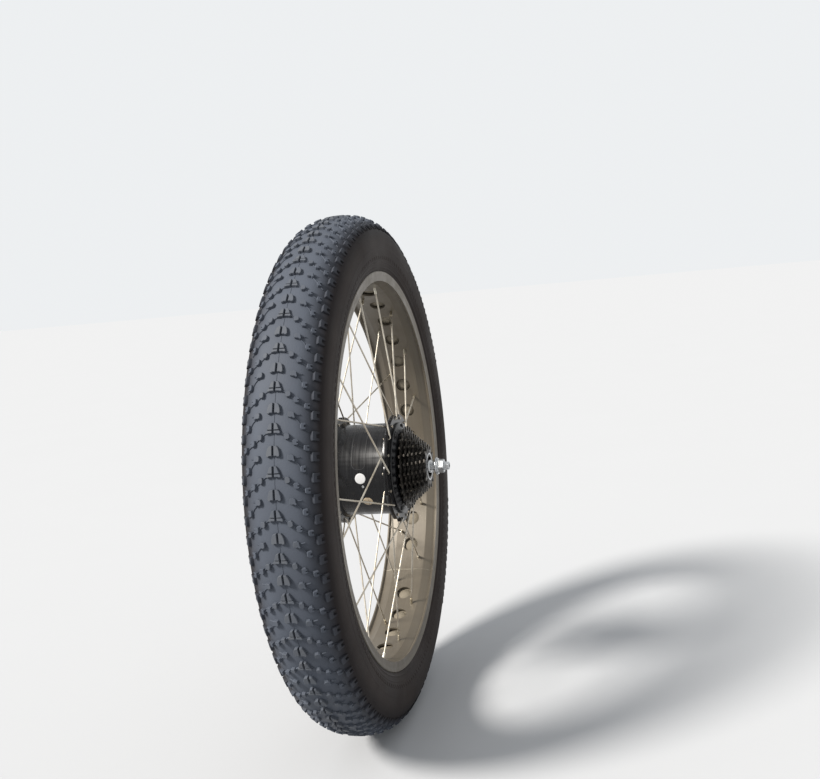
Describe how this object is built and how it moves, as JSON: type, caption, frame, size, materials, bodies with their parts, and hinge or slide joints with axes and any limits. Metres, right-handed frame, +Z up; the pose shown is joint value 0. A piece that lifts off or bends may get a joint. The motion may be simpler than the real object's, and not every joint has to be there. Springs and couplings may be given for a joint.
{
  "type": "hub motor wheel",
  "caption": "Rear bicycle wheel with a geared hub motor, wide pierced rim, laced spokes, knobbly fat tyre, disc brake rotor and a stepped screw-on freewheel.",
  "frame": {"origin": "wheel centre on the axle line, midway between the dropout seats", "axes": "+Z up, +Y along the axle towards the brake side, +X forwards; the sprockets are on the -Y side"},
  "size_m": [0.738, 0.244, 0.738],
  "materials": {
    "tyre_rubber": "moulded black rubber, slightly dusty",
    "inner_rubber": "smooth black rubber",
    "rim_alloy": "satin anodised",
    "steel_bright": "stainless, drawn",
    "steel_ground": "ground bearing steel",
    "steel_dark": "phosphated and oiled",
    "steel_zinc": "zinc plated",
    "steel_black": "black oxide",
    "nipple_plate": "nickel plated",
    "shell_paint": "satin black powder coat on cast aluminium",
    "alloy_raw": "machined",
    "laminations": "varnished laminations",
    "copper": "enamelled copper wire",
    "magnet": "nickel plated magnet",
    "board": "solder mask",
    "nylon": "natural nylon",
    "strip_weave": "woven nylon band",
    "cap_plastic": "black plastic",
    "gasket": "black fibre rubber"
  },
  "bodies": {
    "axle": {"axle": "steel_zinc", "axle_keys": "steel_dark", "stator_core": "laminations", "stator_windings": "copper", "stator_hub": "alloy_raw", "hall_sensor_board": "board", "clutch_inner_race": "steel_ground", "clutch_rollers": "steel_ground", "planet_carrier": "steel_zinc", "planet_pins": "steel_ground", "hub_bearing_inner_rings": "steel_ground", "rotor_bearing_inner_rings": "steel_ground", "left_spacer": "steel_zinc", "right_spacer": "steel_zinc", "torque_washers": "steel_zinc", "axle_nuts": "steel_zinc", "cable_grommet": "inner_rubber"},
    "wheel": {"hub_shell": "shell_paint", "left_cover": "shell_paint", "right_cover": "shell_paint", "left_cover_screws": "steel_black", "right_cover_screws": "steel_black", "cover_gaskets": "gasket", "ring_gear": "steel_ground", "hub_bearing_outer_rings": "steel_ground", "hub_bearing_balls": "steel_ground", "shaft_seals": "inner_rubber", "brake_disc": "steel_bright", "brake_disc_bolts": "steel_black", "rim": "rim_alloy", "rim_strip": "strip_weave", "spokes_left": "steel_bright", "spokes_right": "steel_bright", "spoke_nipples": "nipple_plate", "inner_tube": "inner_rubber", "valve_stem": "inner_rubber", "valve_nut": "steel_zinc", "valve_cap": "cap_plastic", "tyre": "tyre_rubber", "freewheel_inner_body": "steel_dark", "freewheel_pawls": "steel_ground"},
    "freewheel": {"freewheel_outer_body": "steel_dark", "sprocket_28t": "steel_dark", "sprocket_24t": "steel_dark", "sprocket_22t": "steel_dark", "sprocket_20t": "steel_dark", "sprocket_18t": "steel_dark", "sprocket_16t": "steel_dark", "sprocket_14t": "steel_dark", "freewheel_lock_ring": "steel_zinc", "freewheel_balls": "steel_ground"},
    "rotor": {"rotor_can": "steel_zinc", "rotor_end_cap": "alloy_raw", "rotor_magnets": "magnet", "sun_gear": "steel_ground", "rotor_bearing_outer_rings": "steel_ground", "rotor_bearing_balls": "steel_ground"},
    "planet_1": {"planet_gear_1": "nylon"},
    "planet_2": {"planet_gear_2": "nylon"},
    "planet_3": {"planet_gear_3": "nylon"}
  },
  "joints": [
    {"name": "wheel_spin", "type": "hinge", "parent": "axle", "child": "wheel", "pos_m": [0, 0, 0], "axis": [0, 1, 0], "continuous": true},
    {"name": "freewheel_spin", "type": "hinge", "parent": "wheel", "child": "freewheel", "pos_m": [0, 0, 0], "axis": [0, 1, 0], "continuous": true},
    {"name": "rotor_spin", "type": "hinge", "parent": "axle", "child": "rotor", "pos_m": [0, 0, 0], "axis": [0, 1, 0], "continuous": true},
    {"name": "planet_1_spin", "type": "hinge", "parent": "axle", "child": "planet_1", "pos_m": [0, -0.03675, 0.03375], "axis": [0, 1, 0], "continuous": true},
    {"name": "planet_2_spin", "type": "hinge", "parent": "axle", "child": "planet_2", "pos_m": [-0.02923, -0.03675, -0.01688], "axis": [0, 1, 0], "continuous": true},
    {"name": "planet_3_spin", "type": "hinge", "parent": "axle", "child": "planet_3", "pos_m": [0.02923, -0.03675, -0.01688], "axis": [0, 1, 0], "continuous": true}
  ],
  "couplings": [
    {"joint": "rotor_spin", "follows": "wheel_spin", "ratio": -5},
    {"joint": "planet_1_spin", "follows": "wheel_spin", "ratio": 2.5},
    {"joint": "planet_2_spin", "follows": "wheel_spin", "ratio": 2.5},
    {"joint": "planet_3_spin", "follows": "wheel_spin", "ratio": 2.5}
  ]
}
